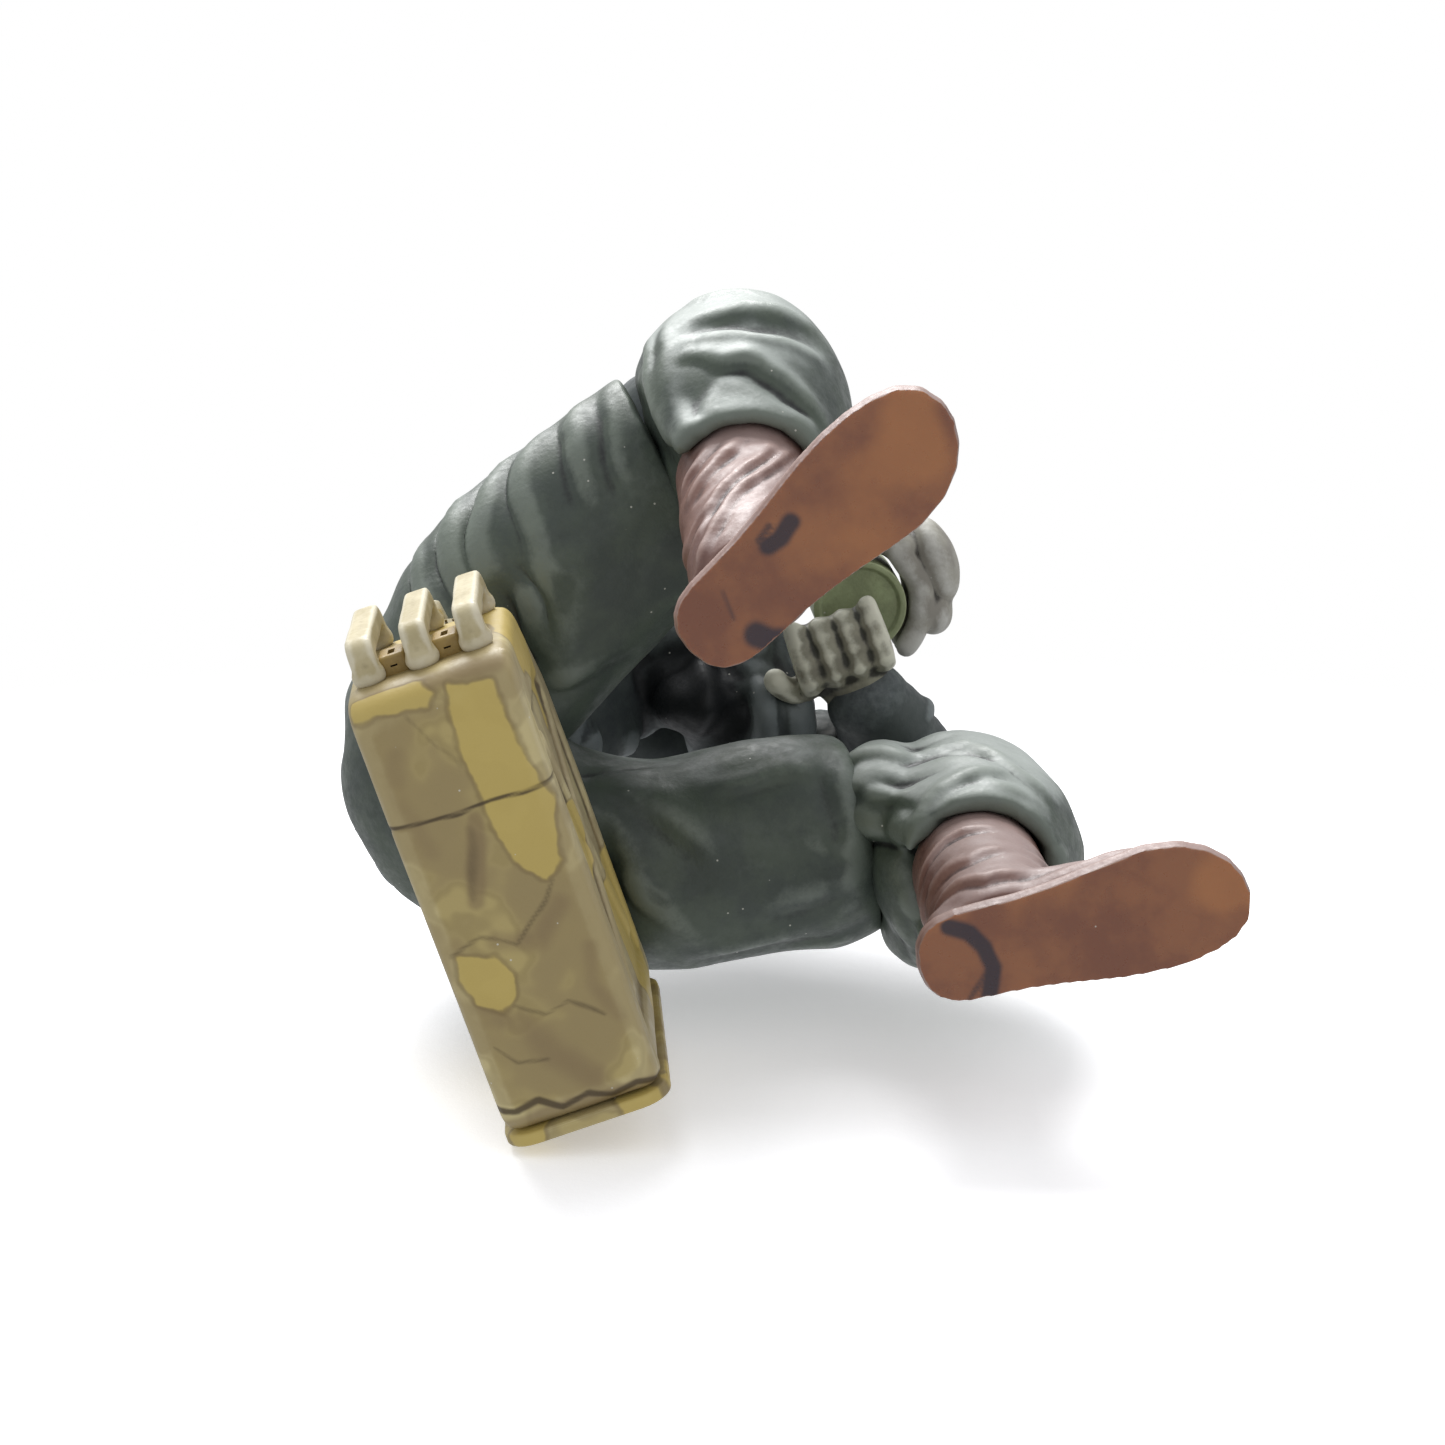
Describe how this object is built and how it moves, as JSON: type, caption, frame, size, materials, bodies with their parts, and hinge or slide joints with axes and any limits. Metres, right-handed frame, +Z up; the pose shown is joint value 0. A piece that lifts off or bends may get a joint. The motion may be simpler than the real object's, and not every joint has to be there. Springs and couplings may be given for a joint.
{
  "type": "painted miniature figure",
  "caption": "Seated soldier miniature in painted plastic, holding a cup, on a fuel can laid on its narrow side; plug-fit head, arm and lower legs.",
  "frame": {"origin": "centre of the fuel can's underside, in the plane of both boot soles", "axes": "+Z up, the figure faces -Y, its left hand side is +X; the can's long axis is X with its handles at -X"},
  "size_m": [0.0247, 0.0274, 0.0376],
  "materials": {
    "can_paint": "painted ochre with a brown wash",
    "cloth_paint": "painted grey-green with a dark wash",
    "cap_paint": "painted grey-green",
    "bare_plastic": "bare brown moulded plastic",
    "glove_paint": "painted grey with a dark wash",
    "cup_paint": "painted pale olive",
    "skin_paint": "painted flesh tone with a brown wash"
  },
  "bodies": {
    "torso_and_can": {"can_body": "can_paint", "can_base": "can_paint", "can_handle_front": "can_paint", "can_handle_middle": "can_paint", "can_handle_rear": "can_paint", "can_cap": "can_paint", "can_lever": "can_paint", "hips": "cloth_paint", "waist_peg": "bare_plastic", "seat_peg": "bare_plastic", "jacket": "cloth_paint", "left_sleeve": "cloth_paint", "left_hand": "glove_paint", "left_shoulder_peg": "bare_plastic"},
    "head": {"head": "skin_paint", "neck_peg": "bare_plastic", "cap": "cap_paint", "cap_peak": "cap_paint"},
    "right_arm": {"right_sleeve": "cloth_paint", "right_hand": "glove_paint", "right_shoulder_peg": "bare_plastic", "cup": "cup_paint", "cup_handle": "cup_paint"},
    "right_leg": {"right_shin": "cloth_paint", "right_knee_peg": "bare_plastic", "right_boot": "bare_plastic"},
    "left_leg": {"left_shin": "cloth_paint", "left_knee_peg": "bare_plastic", "left_boot": "bare_plastic"}
  },
  "joints": [
    {"name": "head_turn", "type": "hinge", "parent": "torso_and_can", "child": "head", "pos_m": [-0.00257, -0.00702, 0.02813], "axis": [-0.1, -0.5001, 0.8602], "range_deg": [-25, 25]},
    {"name": "right_shoulder_swivel", "type": "hinge", "parent": "torso_and_can", "child": "right_arm", "pos_m": [-0.00595, -0.00483, 0.02543], "axis": [-0.9934, 0.1024, 0.0512], "range_deg": [0, 12]},
    {"name": "right_knee_swivel", "type": "hinge", "parent": "torso_and_can", "child": "right_leg", "pos_m": [-0.00925, -0.00873, 0.01452], "axis": [-0.1213, -0.9908, 0.0607], "range_deg": [-4, 4]},
    {"name": "left_knee_swivel", "type": "hinge", "parent": "torso_and_can", "child": "left_leg", "pos_m": [0.00721, -0.01142, 0.01452], "axis": [0.1013, -0.993, 0.0608], "range_deg": [-4, 4]}
  ]
}
